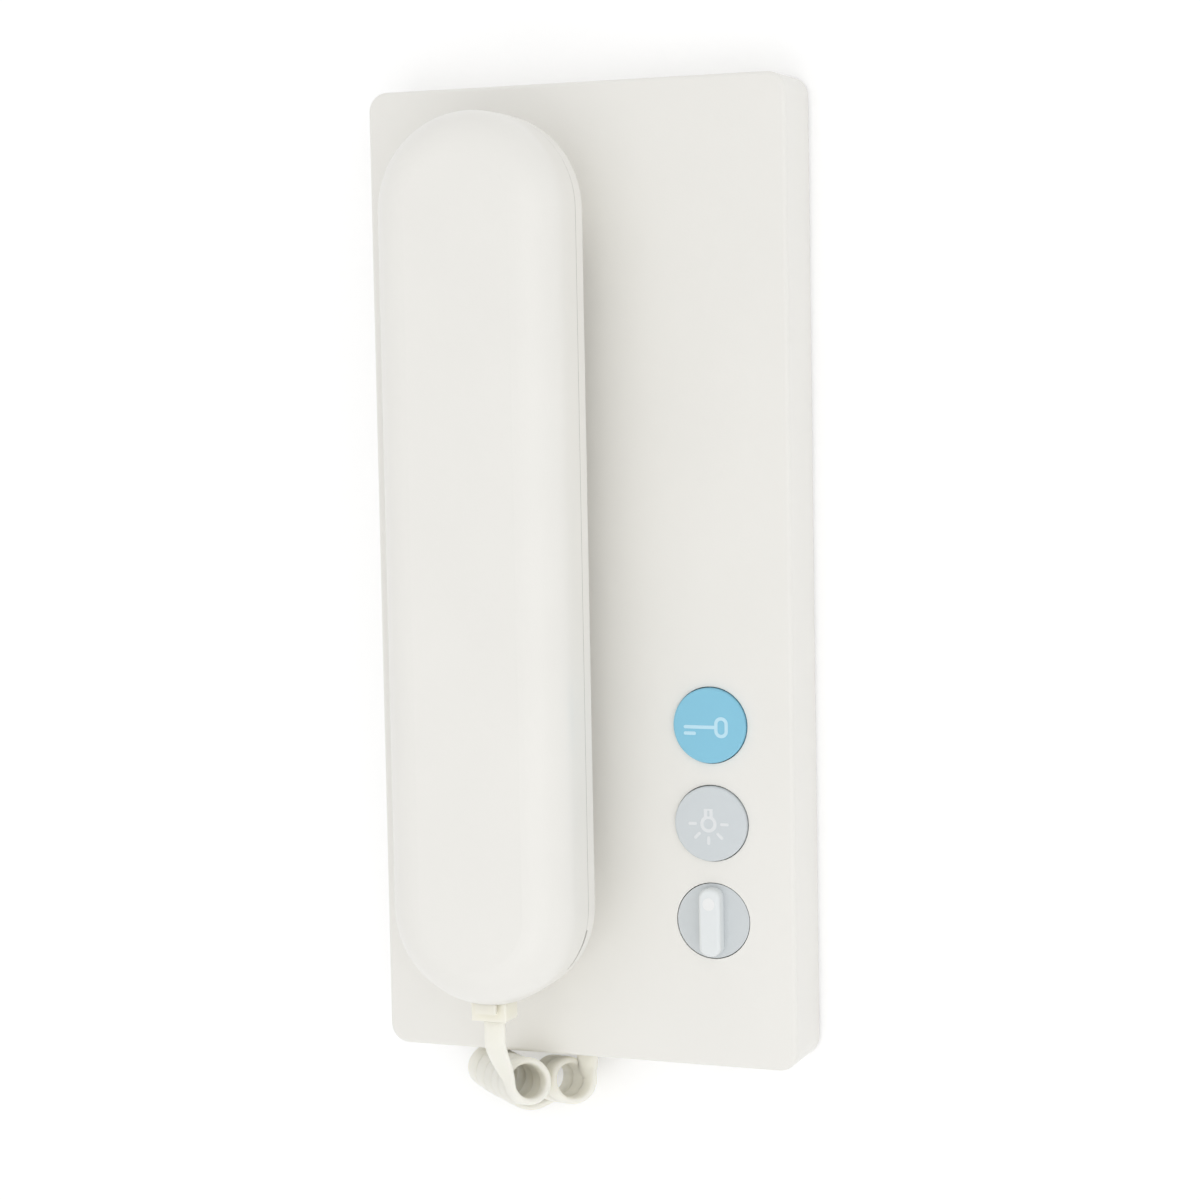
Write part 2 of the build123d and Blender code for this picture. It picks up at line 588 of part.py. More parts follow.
def coil_spring(x, z, low, high, radius, wire, turns):
    """Compression spring between two depths, as one tube on quarter-turn biarcs."""
    bottom = low + wire / 2
    pitch = (high - low - wire) / turns
    stations = []
    for quarter in range(turns * 4 + 1):
        centre = Vector(x, -(bottom + pitch * quarter / 4), z)
        stations.append(coil_station(centre, Vector(1, 0, 0), Vector(0, 0, 1), Vector(0, -1, 0),
                                     radius, quarter * 90, pitch))
    path = Wire(biarc_edges(stations))
    with BuildSketch(Plane(path @ 0, z_dir=path % 0)) as section:
        Circle(wire / 2)
    sweep(section.sketch, path=path)


with BuildPart() as hook_spring:
    coil_spring(HANDSET_X, HOOK_Z, PLATE_THICKNESS, HOOK_BACK, HOOK_SPRING_RADIUS, HOOK_SPRING_WIRE,
                HOOK_SPRING_TURNS)
finish(hook_spring, "hook_spring")


# Push buttons: hollow caps with a stem, on springs
def button_cap(x, z):
    disc(x, z, CONTROL_RADIUS, CONTROL_BASE, BUTTON_FACE)
    flange_top = INNER_FACE - FLANGE_PLAY
    disc(x, z, CONTROL_RADIUS + FLANGE_LIP, flange_top - FLANGE_THICKNESS, flange_top)
    disc(x, z, CONTROL_RADIUS - BUTTON_WALL, 0, BUTTON_HOLLOW, mode=Mode.SUBTRACT)
    disc(x, z, STEM_RADIUS, SWITCH_TOP + BUTTON_TRAVEL + PRESS_GAP, BUTTON_HOLLOW)


def stroke(x, z, width, height):
    """One rounded bar of a pictogram."""
    with Locations((x, z)):
        RectangleRounded(width, height, min(width, height) * 0.49)


with BuildSketch(at_depth(BUTTON_FACE - ICON_SINK)) as key_outline:
    with Locations(KEY_CENTRE):
        with Locations((KEY_RING_X, KEY_SHAFT_Z)):
            SlotOverall(KEY_RING_HEIGHT, KEY_RING_WIDTH, rotation=90)
            SlotOverall(KEY_RING_HEIGHT - ICON_STROKE * 2, KEY_RING_WIDTH - ICON_STROKE * 2, rotation=90,
                        mode=Mode.SUBTRACT)
        shaft_end = KEY_RING_X - KEY_RING_WIDTH / 2 + ICON_STROKE / 2
        stroke((KEY_LEFT + shaft_end) / 2, KEY_SHAFT_Z, shaft_end - KEY_LEFT, ICON_STROKE)
        stroke(KEY_LEFT + KEY_BIT_LENGTH / 2, KEY_BIT_Z, KEY_BIT_LENGTH, ICON_STROKE)

with BuildSketch(at_depth(BUTTON_FACE - ICON_SINK)) as light_outline:
    with Locations(LIGHT_CENTRE):
        with Locations((BULB_X, 0)):
            Circle(BULB_RADIUS)
            with Locations((0, CAP_TOP - CAP_WIDTH / 2)):
                Rectangle(CAP_WIDTH, CAP_WIDTH)
            Circle(BULB_RADIUS - ICON_STROKE, mode=Mode.SUBTRACT)
            with Locations((0, CAP_TOP - CAP_WIDTH / 2)):
                Rectangle(CAP_WIDTH - ICON_STROKE * 2, CAP_WIDTH - ICON_STROKE, mode=Mode.SUBTRACT)
            for angle in (0, -45, -90, -135, -180):
                with Locations(Rotation(0, 0, angle)):
                    stroke((RAY_START + RAY_END) / 2, 0, RAY_END - RAY_START, ICON_STROKE * 0.9)

with BuildPart() as key_button:
    button_cap(*KEY_CENTRE)
    fillet(key_button.faces().sort_by(Axis.Y)[0].edges(), BUTTON_EDGE)
    extrude(key_outline.sketch, amount=BUTTON_WALL, mode=Mode.SUBTRACT)
finish(key_button, "key_button")

with BuildPart() as light_button:
    button_cap(*LIGHT_CENTRE)
    fillet(light_button.faces().sort_by(Axis.Y)[0].edges(), BUTTON_EDGE)
    extrude(light_outline.sketch, amount=BUTTON_WALL, mode=Mode.SUBTRACT)
finish(light_button, "light_button")

with BuildPart() as key_pictogram:
    extrude(key_outline.sketch, amount=ICON_SINK + ICON_HEIGHT)
finish(key_pictogram, "key_pictogram")

with BuildPart() as light_pictogram:
    extrude(light_outline.sketch, amount=ICON_SINK + ICON_HEIGHT)
finish(light_pictogram, "light_pictogram")

with BuildPart() as key_spring:
    coil_spring(*KEY_CENTRE, BOARD_FRONT, BUTTON_HOLLOW, SPRING_RADIUS, SPRING_WIRE, SPRING_TURNS)
finish(key_spring, "key_spring")

with BuildPart() as light_spring:
    coil_spring(*LIGHT_CENTRE, BOARD_FRONT, BUTTON_HOLLOW, SPRING_RADIUS, SPRING_WIRE, SPRING_TURNS)
finish(light_spring, "light_spring")


# Volume knob, its shaft and the control on the board
knob_face = PANEL_DEPTH - DISC_SINK
bar_top = knob_face + BAR_HEIGHT
control_top = HUB_BASE - HUB_CLEARANCE - BUSH_HEIGHT
shaft_base = BOARD_FRONT + RIB

with BuildPart() as volume_knob:
    with BuildSketch(at_depth(knob_face)):
        with Locations(KNOB_CENTRE):
            RectangleRounded(BAR_WIDTH, BAR_LENGTH, BAR_WIDTH * 0.45)
    extrude(amount=BAR_HEIGHT)
    fillet(volume_knob.faces().sort_by(Axis.Y)[0].edges(), BAR_EDGE)
    disc(*KNOB_CENTRE, CONTROL_RADIUS, CONTROL_BASE, knob_face)
    disc(*KNOB_CENTRE, HUB_RADIUS, HUB_BASE, CONTROL_BASE)
    disc(*KNOB_CENTRE, SHAFT_RADIUS + THREAD_FIT, HUB_BASE, SHAFT_TOP + THREAD_FIT, mode=Mode.SUBTRACT)
    disc(KNOB_CENTRE[0], KNOB_CENTRE[1] + DOT_HEIGHT_ON_BAR, DOT_RADIUS, bar_top - ICON_SINK, bar_top,
         mode=Mode.SUBTRACT)
finish(volume_knob, "volume_knob")

with BuildPart() as knob_dot:
    disc(KNOB_CENTRE[0], KNOB_CENTRE[1] + DOT_HEIGHT_ON_BAR, DOT_RADIUS, bar_top - ICON_SINK,
         bar_top + ICON_HEIGHT)
finish(knob_dot, "knob_dot")

with BuildPart() as volume_shaft:
    disc(*KNOB_CENTRE, SHAFT_RADIUS, shaft_base, SHAFT_TOP)
finish(volume_shaft, "volume_shaft")

with BuildPart() as volume_control:
    block(*KNOB_CENTRE, CONTROL_BOX, CONTROL_BOX, BOARD_FRONT, control_top)
    disc(*KNOB_CENTRE, BUSH_RADIUS, control_top, control_top + BUSH_HEIGHT)
    disc(*KNOB_CENTRE, SHAFT_RADIUS + SHAFT_FIT, shaft_base - SHAFT_FIT, control_top + BUSH_HEIGHT,
         mode=Mode.SUBTRACT)
finish(volume_control, "volume_control")


# Modular plugs and sockets; both plugs point up, the latch faces forward (1) or back (-1)
def plug(x, depth, z, latch):
    with BuildSketch(Plane.XY.offset(z)) as outline:
        with Locations((x, -depth)):
            RectangleRounded(PLUG_WIDTH, PLUG_THICKNESS, PLUG_EDGE)
    extrude(outline.sketch, amount=PLUG_LENGTH)
    face = depth + latch * PLUG_THICKNESS / 2
    tip = face + latch * (LATCH_SPRING + LATCH_THICKNESS)
    root = z + PLUG_LENGTH
    with BuildSketch(Plane.YZ.offset(x - LATCH_WIDTH / 2)) as blade:
        with BuildLine():
            Polyline([
                (-(face - latch * PLUG_EDGE), root), (-(face + latch * LATCH_THICKNESS / 2), root),
                (-tip, root - LATCH_ROOT * 2), (-tip, z + LATCH_TIP),
                (-(tip - latch * LATCH_THICKNESS), z + LATCH_TIP),
                (-(tip - latch * LATCH_THICKNESS), root - LATCH_ROOT * 2),
                (-face, root - LATCH_ROOT), (-(face - latch * PLUG_EDGE), root - LATCH_ROOT),
            ], close=True)
        make_face()
    extrude(blade.sketch, amount=LATCH_WIDTH)


def plug_space(x, depth, z, length, latch, mode=Mode.SUBTRACT):
    """The room that a plug and its latch need, from z upward."""
    with BuildSketch(Plane.XY.offset(z)) as outline:
        with Locations((x, -depth)):
            Rectangle(PLUG_WIDTH + PLUG_FIT * 2, PLUG_THICKNESS + PLUG_FIT * 2)
        reach = PLUG_THICKNESS / 2 + LATCH_SPRING + LATCH_THICKNESS + PLUG_FIT
        with Locations((x, -depth - latch * reach / 2)):
            Rectangle(LATCH_WIDTH + PLUG_FIT * 2, reach)
    extrude(outline.sketch, amount=length, mode=mode)


def socket(x, depth, z, top_of_plug, latch):
    outer = PLUG_THICKNESS + (PLUG_FIT + SOCKET_WALL) * 2 + LATCH_SPRING + LATCH_THICKNESS
    shift = latch * (LATCH_SPRING + LATCH_THICKNESS) / 2
    with BuildSketch(Plane.XY.offset(z)) as outline:
        with Locations((x, -depth - shift)):
            Rectangle(socket_width, outer)
    extrude(outline.sketch, amount=SOCKET_LENGTH)
    plug_space(x, depth, z, top_of_plug + PLUG_FIT - z, latch)


base_socket_z = -PANEL_HEIGHT / 2 + SKIN + PLATE_GAP

with BuildPart() as base_socket:
    socket(BASE_PLUG_X, BASE_PLUG_DEPTH, base_socket_z, BASE_PLUG_Z + PLUG_LENGTH, -1)
finish(base_socket, "base_socket")

with BuildPart() as base_plug:
    plug(BASE_PLUG_X, BASE_PLUG_DEPTH, BASE_PLUG_Z, -1)
finish(base_plug, "base_plug")

with BuildPart() as handset_socket:
    socket(HANDSET_X, HANDSET_PLUG_DEPTH, HANDSET_SOCKET_Z, HANDSET_PLUG_Z + PLUG_LENGTH, 1)
finish(handset_socket, "handset_socket")

with BuildPart() as handset_plug:
    plug(HANDSET_X, HANDSET_PLUG_DEPTH, HANDSET_PLUG_Z, 1)
finish(handset_plug, "handset_plug")


# Handset shells: one half outline, run along the straight part and turned round both ends
def pill(draw_half, mode=Mode.ADD):
    """Build a solid with round ends from a half outline of the handset's cross-section."""
    straight = EAR_Z - MOUTH_Z
    for z, spin in ((EAR_Z, (0, -1, 0)), (MOUTH_Z, (0, 1, 0))):
        plane = Plane((HANDSET_X, 0, z), x_dir=(1, 0, 0), z_dir=(0, 0, 1))
        with BuildSketch(plane) as half:
            with BuildLine():
                draw_half()
            make_face()
        revolve(half.sketch, axis=Axis((HANDSET_X, 0, z), spin), revolution_arc=180, mode=mode)
    whole = half.sketch + half.sketch.mirror(Plane.YZ.offset(HANDSET_X))
    extrude(whole, amount=straight, dir=(0, 0, 1), mode=mode)


def cover_half(inset, low):
    """Half of the cover: straight side, round shoulder and a flat front."""
    side = END_RADIUS - inset
    front = HANDSET_FRONT - inset
    centre = END_RADIUS - SHOULDER_RADIUS
    Line((0, -low), (side, -low))
    Line((side, -low), (side, -COVER_SIDE))
    CenterArc((centre, -COVER_SIDE), SHOULDER_RADIUS - inset, 0, -90)
    Line((centre, -front), (0, -front))
    Line((0, -front), (0, -low))


def back_half(inset, top, floor):
    """Half of the back shell: short side, a slope inward and a flat floor."""
    side = END_RADIUS - BACK_INSET - inset
    foot = END_RADIUS - BACK_INSET - BACK_FLOOR_INSET - inset
    rim = BACK_RIM + inset / 2
    Polyline([(0, -top), (side, -top), (side, -rim), (foot, -floor), (0, -floor)], close=True)


def handset_screw_places():
    return [(HANDSET_X, HANDSET_Z + HANDSET_SCREW_OFFSET), (HANDSET_X, HANDSET_Z - HANDSET_SCREW_OFFSET)]


with BuildPart() as handset_cover:
    pill(lambda: cover_half(0, SEAM_DEPTH))
    pill(lambda: cover_half(HANDSET_WALL, SEAM_DEPTH), mode=Mode.SUBTRACT)
    for x, z in handset_screw_places():
        disc(x, z, BOSS_RADIUS, BACK_INNER + HANDSET_WALL + SOFT_GAP, COVER_INNER)
        disc(x, z, SCREW_SHANK + THREAD_FIT, 0, BACK_INNER + SCREW_REACH + THREAD_FIT, mode=Mode.SUBTRACT)
    plug_space(HANDSET_X, HANDSET_PLUG_DEPTH, HANDSET_PLUG_Z, HANDSET_SOCKET_Z - HANDSET_PLUG_Z, 1)
finish(handset_cover, "handset_cover")

with BuildPart() as handset_back:
    pill(lambda: back_half(0, BACK_TOP, BACK_FLOOR))
    for z in (EAR_Z, MOUTH_Z):
        disc(HANDSET_X, z, CUP_RADIUS, CUP_FACE, BACK_INNER)
    fillet(handset_back.faces().group_by(Axis.Y)[-1].edges(), CUP_EDGE)
    pill(lambda: back_half(HANDSET_WALL, BACK_TOP, BACK_INNER), mode=Mode.SUBTRACT)
    for z in (EAR_Z, MOUTH_Z):
        disc(HANDSET_X, z, CUP_RADIUS - CUP_WALL, CUP_FLOOR, BACK_INNER, mode=Mode.SUBTRACT)
    for x, z in handset_screw_places():
        disc(x, z, BOSS_RADIUS, BACK_FLOOR, BACK_INNER + HANDSET_WALL)
        disc(x, z, SCREW_SHANK + CONTROL_GAP, BACK_FLOOR, BACK_INNER + HANDSET_WALL, mode=Mode.SUBTRACT)
        disc(x, z, SCREW_HEAD + CONTROL_GAP, BACK_FLOOR, BACK_INNER, mode=Mode.SUBTRACT)
    for z, rings in ((EAR_Z, 2), (MOUTH_Z, 1)):
        with BuildSketch(at_depth(CUP_FACE)):
            with Locations((HANDSET_X, z)):
                Circle(SOUND_HOLE)
                for ring in range(1, rings + 1):
                    with PolarLocations(SOUND_PITCH * ring, 6 * ring):
                        Circle(SOUND_HOLE)
        extrude(amount=CUP_WALL, mode=Mode.SUBTRACT)
    with BuildSketch(at_depth(CUP_FLOOR)):
        with Locations((HANDSET_X, MOUTH_Z)):
            Circle(BOOT_RADIUS + SOFT_GAP + RIB)
            Circle(BOOT_RADIUS + SOFT_GAP, mode=Mode.SUBTRACT)
    extrude(amount=BOOT_RING_HEIGHT)
    plug_space(HANDSET_X, HANDSET_PLUG_DEPTH, HANDSET_PLUG_Z, HANDSET_SOCKET_Z - HANDSET_PLUG_Z, 1)
    with BuildSketch(at_depth(BACK_TOP - PRY_SLOT_HEIGHT)):
        with Locations((HANDSET_X, MOUTH_Z)):
            with Locations(Rotation(0, 0, PRY_SLOT_ANGLE)):
                with Locations((END_RADIUS, 0)):
                    Rectangle(HANDSET_WALL * 3, PRY_SLOT_LENGTH)
    extrude(amount=PRY_SLOT_HEIGHT + OVERRUN, mode=Mode.SUBTRACT)
finish(handset_back, "handset_back")

with BuildPart() as handset_screws:
    for x, z in handset_screw_places():
        disc(x, z, SCREW_HEAD, BACK_INNER - SCREW_HEAD_HEIGHT, BACK_INNER)
        disc(x, z, SCREW_SHANK, BACK_INNER, BACK_INNER + SCREW_REACH)
        for width, height in ((SCREW_HEAD, SCREW_SHANK / 2), (SCREW_SHANK / 2, SCREW_HEAD)):
            block(x, z, width, height, 0, BACK_INNER - SCREW_HEAD_HEIGHT / 2, mode=Mode.SUBTRACT)
finish(handset_screws, "handset_screws")


# Inside the handset
gasket_top = CUP_FLOOR + GASKET_THICKNESS

with BuildPart() as earpiece_gasket:
    with BuildSketch(at_depth(CUP_FLOOR)):
        with Locations((HANDSET_X, EAR_Z)):
            Circle(CAPSULE_RADIUS)
            Circle(GASKET_INNER, mode=Mode.SUBTRACT)
    extrude(amount=GASKET_THICKNESS)
finish(earpiece_gasket, "earpiece_gasket")

with BuildPart() as earpiece_capsule:
    disc(HANDSET_X, EAR_Z, CAPSULE_RADIUS, gasket_top, gasket_top + CAPSULE_RIM)
    disc(HANDSET_X, EAR_Z, CAPSULE_BODY_RADIUS, gasket_top, gasket_top + CAPSULE_HEIGHT)
    with BuildSketch(at_depth(gasket_top)):
        with Locations((HANDSET_X, EAR_Z)):
            with PolarLocations(SOUND_PITCH, 6):
                Circle(SOUND_HOLE)
    extrude(amount=RIB, mode=Mode.SUBTRACT)
finish(earpiece_capsule, "earpiece_capsule")

with BuildPart() as microphone_boot:
    disc(HANDSET_X, MOUTH_Z, BOOT_RADIUS, CUP_FLOOR, CUP_FLOOR + BOOT_HEIGHT)
    disc(HANDSET_X, MOUTH_Z, MIC_RADIUS, CUP_FLOOR + BOOT_FLOOR, CUP_FLOOR + BOOT_HEIGHT, mode=Mode.SUBTRACT)
    disc(HANDSET_X, MOUTH_Z, BOOT_PORT, CUP_FLOOR, CUP_FLOOR + BOOT_FLOOR, mode=Mode.SUBTRACT)
finish(microphone_boot, "microphone_boot")

mic_back = CUP_FLOOR + BOOT_FLOOR + MIC_HEIGHT

with BuildPart() as microphone_capsule:
    disc(HANDSET_X, MOUTH_Z, MIC_RADIUS, CUP_FLOOR + BOOT_FLOOR, mic_back)
finish(microphone_capsule, "microphone_capsule")

with BuildPart() as handset_weight:
    block(HANDSET_X, HANDSET_Z, WEIGHT_WIDTH, WEIGHT_LENGTH, BACK_INNER, BACK_INNER + WEIGHT_THICKNESS)
    fillet(handset_weight.edges().filter_by(Axis.Y), RIB)
finish(handset_weight, "handset_weight")

socket_top = HANDSET_SOCKET_Z + SOCKET_LENGTH
capsule_back = gasket_top + CAPSULE_HEIGHT
ear_lead = [
    (HANDSET_X + LEAD_EXIT, -LEAD_DEPTH, socket_top),
    (HANDSET_X + LEAD_EXIT, -LEAD_DEPTH, socket_top + LEAD_SIDE),
    (HANDSET_X + LEAD_SIDE, -LEAD_DEPTH, socket_top + LEAD_SIDE * 2.5),
    (HANDSET_X + LEAD_SIDE, -LEAD_DEPTH, EAR_Z - LEAD_SIDE * 2.5),
    (HANDSET_X + LEAD_EXIT, -LEAD_DEPTH, EAR_Z),
    (HANDSET_X + LEAD_EXIT, -capsule_back, EAR_Z),
]
mic_lead = [
    (HANDSET_X - LEAD_EXIT, -LEAD_DEPTH, socket_top),
    (HANDSET_X - LEAD_EXIT, -LEAD_DEPTH, MOUTH_Z + LEAD),
    (HANDSET_X - LEAD_EXIT, -mic_back, MOUTH_Z + LEAD),
]


def lead_tube(points):
    """A thin insulated lead with rounded bends."""
    with BuildLine() as route:
        FilletPolyline(*points, radius=LEAD_BEND * 0.8)
    with BuildSketch(Plane(route.line @ 0, z_dir=route.line % 0)) as section:
        Circle(LEAD / 2)
    sweep(section.sketch, path=route.line)


with BuildPart() as handset_leads:
    lead_tube(ear_lead)
    lead_tube(mic_lead)
finish(handset_leads, "handset_leads")


# Curly cord: straight out of the handset's plug, down the left leg away from the viewer,
# across to the right leg, back towards the viewer and up into the base's plug
def coil_leg(near, bend, far, quarters, first_angle, turning):
    """Stations of a coil on a curved axis, a quarter turn apart; turning is 1 away and -1 back."""
    length = Edge.make_bezier(near, bend, far).length
    stations = []
    for quarter in range(quarters + 1):
        along = quarter / quarters
        centre = near * (1 - along) ** 2 + bend * (2 * along * (1 - along)) + far * along ** 2
        forward = ((bend - near) * (1 - along) + (far - bend) * along).normalized()
        right = (forward * turning).cross(Vector(0, 0, 1)).normalized()
        up = right.cross(forward * turning)
        stations.append(coil_station(centre, right, up, forward, COIL_RADIUS,
                                     first_angle + quarter * 90, length / quarters * 4))
    return stations


down = Vector(0, 0, -1)
plug_end = Vector(HANDSET_X, -HANDSET_PLUG_DEPTH, HANDSET_PLUG_Z)
base_end = Vector(BASE_PLUG_X, -BASE_PLUG_DEPTH, BASE_PLUG_Z)
cord_stations = [(plug_end, down), (plug_end + down * WIRE, down)]
cord_stations += coil_leg(plug_end + Vector(*LEFT_NEAR), base_end + Vector(*LEFT_BEND),
                          base_end + Vector(*LEFT_FAR), LEFT_QUARTERS, 180, 1)
cord_stations.append((base_end + Vector(*BRIDGE), Vector(1, 0, 0)))
cord_stations += coil_leg(base_end + Vector(*RIGHT_FAR), base_end + Vector(*RIGHT_BEND),
                          base_end + Vector(*RIGHT_NEAR), RIGHT_QUARTERS, 270, -1)
cord_stations += [(base_end + down * WIRE, -down), (base_end, -down)]

with BuildPart() as curly_cord:
    cord_path = Wire(biarc_edges(cord_stations))
    with BuildSketch(Plane(plug_end, z_dir=down)) as cord_section:
        Circle(WIRE / 2)
    sweep(cord_section.sketch, path=cord_path)
finish(curly_cord, "curly_cord")

samples = [cord_path @ (index / 1500) for index in range(1501)]
step = cord_path.length / 1500
apart = int(WIRE * 3 / step)
least_gap = min(
    (samples[one] - samples[two]).length - WIRE
    for one in range(0, len(samples), 2) for two in range(one + apart, len(samples), 2)
)
section_volume = math.pi * WIRE * WIRE / 4 * cord_path.length
print("cord length", round(cord_path.length, 1), "least gap to itself", round(least_gap, 2))
print("cord volume", round(curly_cord.part.volume, 1), "section times length", round(section_volume, 1))
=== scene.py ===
"""Wall audio intercom with its corded handset: looks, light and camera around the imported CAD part.

Lengths are in metres in the part's own frame: the origin is the centre of the wall face,
+X is the viewer's right, +Y goes into the wall and +Z is up.
"""

import json
import math

import bpy
import numpy as np
from mathutils import Matrix, Vector


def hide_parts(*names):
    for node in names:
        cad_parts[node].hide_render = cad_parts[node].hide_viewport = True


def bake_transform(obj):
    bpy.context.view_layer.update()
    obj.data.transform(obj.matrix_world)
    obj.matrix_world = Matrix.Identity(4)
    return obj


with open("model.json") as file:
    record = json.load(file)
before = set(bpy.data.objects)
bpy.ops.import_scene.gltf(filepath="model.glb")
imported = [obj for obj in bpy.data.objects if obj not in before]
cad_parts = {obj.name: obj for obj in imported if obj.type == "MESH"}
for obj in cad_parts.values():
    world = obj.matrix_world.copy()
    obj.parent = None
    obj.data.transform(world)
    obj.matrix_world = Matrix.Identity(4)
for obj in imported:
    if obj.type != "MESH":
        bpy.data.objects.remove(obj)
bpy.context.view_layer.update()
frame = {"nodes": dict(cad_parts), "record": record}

MM = 0.001

# Camera: yaw, pitch and roll in degrees, fitted to the photograph's corners
CAMERA_YAW = 21.365
CAMERA_PITCH = 4.772
CAMERA_ROLL = -1.051
CAMERA_PLACE = (0.2140, -0.5512, 0.0432)
CAMERA_LENS = 84.42
SENSOR_WIDTH = 36.0

# Curly cord, in millimetres: the CAD part's route and coil. A leg's axis is a start, a bend and an
# end; its first angle says where on the coil its first point lies, in degrees.
CORD_WIDTH = 4.6
CORD_THICKNESS = 1.5
SECTION_STEPS = 24
SECTION_ROUNDNESS = 0.62
COIL_RADIUS = 4.2
POINTS_PER_TURN = 16
LEFT_TURNS = 5.25
LEFT_FIRST_ANGLE = 180
RIGHT_TURNS = 2.25
RIGHT_FIRST_ANGLE = 270
LEFT_AXIS = ((-9.4, -25.3, -103.9), (-16.3, -17.2, -106.6), (-26.0, -7.6, -105.9))
RIGHT_AXIS = ((-12.8, -5.9, -108.2), (-8.7, -9.3, -107.4), (-4.9, -12.3, -106.7))
HANDSET_END = (-12.6, -35.0, -88.75)
BASE_END = (-2.9, -8.8, -101.0)
LEAD_IN = 3.2
HANDSET_LEAD_SHARES = (1.0, 1.9)
BASE_LEAD_SHARES = (1.3, 0.7)
LEAD_OVER = (-0.5, 4.2, -10.4)
BRIDGE_LEFT = (-21.8, -5.6, -114.4)
BRIDGE_RIGHT = (-17.4, -5.6, -114.7)
LINE_STEPS = 6

# Depths in front of the wall, in metres: the volume knob's disc with the height over which its bar's
# colour sets in, and the middle of the handset's seam with the half width of the painted shade line
# along it
KNOB_DISC = 0.0155
BAR_ONSET = 0.0004
SEAM = 0.03165
SEAM_SHADE_HALF_WIDTH = 0.0002

# Materials: cloud size for the drift in colour, the share of the noise over which it runs, and how
# strongly grain and brushed lines stand out
DRIFT_SCALE = 45.0
DRIFT_RANGE = (0.3, 0.7)
DRIFT_DETAIL = 3.0
GRAIN_DETAIL = 4.0
GRAIN_STRENGTH = 0.35
BRUSH_SCALE = 900.0
BRUSH_DEPTH = 0.00003
BRUSH_STRENGTH = 0.5


# Materials


def linear(red, green, blue):
    """A colour given as it looks on screen, 0 to 255, as the linear colour that shaders take."""
    def one(value):
        value /= 255
        return value / 12.92 if value <= 0.04045 else ((value + 0.055) / 1.055) ** 2.4
    return one(red), one(green), one(blue), 1.0


class Shader:
    """A Principled material whose colour drifts slightly, up and down by the share drift."""

    def __init__(self, name, colour, roughness, drift=0.02, **sockets):
        self.material = bpy.data.materials.new(name)
        self.material.use_nodes = True
        self.tree = self.material.node_tree
        self.principled = self.tree.nodes["Principled BSDF"]
        self.principled.inputs["Roughness"].default_value = roughness
        for socket, value in sockets.items():
            self.principled.inputs[socket.replace("_", " ")].default_value = value
        self.place = self.node("ShaderNodeTexCoord").outputs["Object"]
        ramp = self.node("ShaderNodeValToRGB")
        shares = (1 - drift, 1 + drift)
        for stop, share, place in zip(ramp.color_ramp.elements, shares, DRIFT_RANGE):
            stop.color = [min(part * share, 1) for part in colour[:3]] + [1]
            stop.position = place
        self.link(self.noise(DRIFT_SCALE, DRIFT_DETAIL), ramp.inputs["Fac"])
        self.link(ramp.outputs["Color"], self.principled.inputs["Base Color"])
        self.colour = ramp.outputs["Color"]

    def node(self, kind):
        return self.tree.nodes.new(kind)

    def link(self, source, target):
        self.tree.links.new(source, target)

    def noise(self, scale, detail):
        texture = self.node("ShaderNodeTexNoise")
        texture.inputs["Scale"].default_value = scale
        texture.inputs["Detail"].default_value = detail
        self.link(self.place, texture.inputs["Vector"])
        return texture.outputs["Fac"]

    def bump(self, heights, depth, strength):
        """Raise the surface by a height signal; depth is in metres."""
        bump = self.node("ShaderNodeBump")
        bump.inputs["Distance"].default_value = depth
        bump.inputs["Strength"].default_value = strength
        self.link(heights, bump.inputs["Height"])
        self.link(bump.outputs["Normal"], self.principled.inputs["Normal"])
        return self

    def depth(self):
        """Distance in front of the wall, in metres."""
        apart = self.node("ShaderNodeSeparateXYZ")
        self.link(self.place, apart.inputs[0])
        forward = self.node("ShaderNodeMath")
        forward.operation = "MULTIPLY"
        forward.inputs[1].default_value = -1.0
        self.link(apart.outputs["Y"], forward.inputs[0])
        return forward.outputs[0]

    def tint(self, mask, colour):
        """Another colour where the mask is 1."""
        mix = self.node("ShaderNodeMix")
        mix.data_type = "RGBA"
        mix.inputs["B"].default_value = colour
        self.link(mask, mix.inputs["Factor"])
        self.link(self.colour, mix.inputs["A"])
        self.link(mix.outputs["Result"], self.principled.inputs["Base Color"])
        return self

    def tint_raised(self, colour, depth):
        """Another colour on what stands further forward than depth, in metres."""
        mask = self.node("ShaderNodeMapRange")
        mask.inputs["From Min"].default_value = depth
        mask.inputs["From Max"].default_value = depth + BAR_ONSET
        self.link(self.depth(), mask.inputs["Value"])
        return self.tint(mask.outputs["Result"], colour)

    def tint_band(self, colour, depth, half_width):
        """Another colour on what lies at depth, give or take half_width, in metres."""
        mask = self.node("ShaderNodeMath")
        mask.operation = "COMPARE"
        mask.inputs[1].default_value = depth
        mask.inputs[2].default_value = half_width
        self.link(self.depth(), mask.inputs[0])
        return self.tint(mask.outputs[0], colour)

    def grain(self, scale, depth):
        return self.bump(self.noise(scale, GRAIN_DETAIL), depth, GRAIN_STRENGTH)


def moulded(name, colour, roughness, grain_scale=2600.0, grain_depth=0.00004, **sockets):
    return Shader(name, colour, roughness, **sockets).grain(grain_scale, grain_depth).material


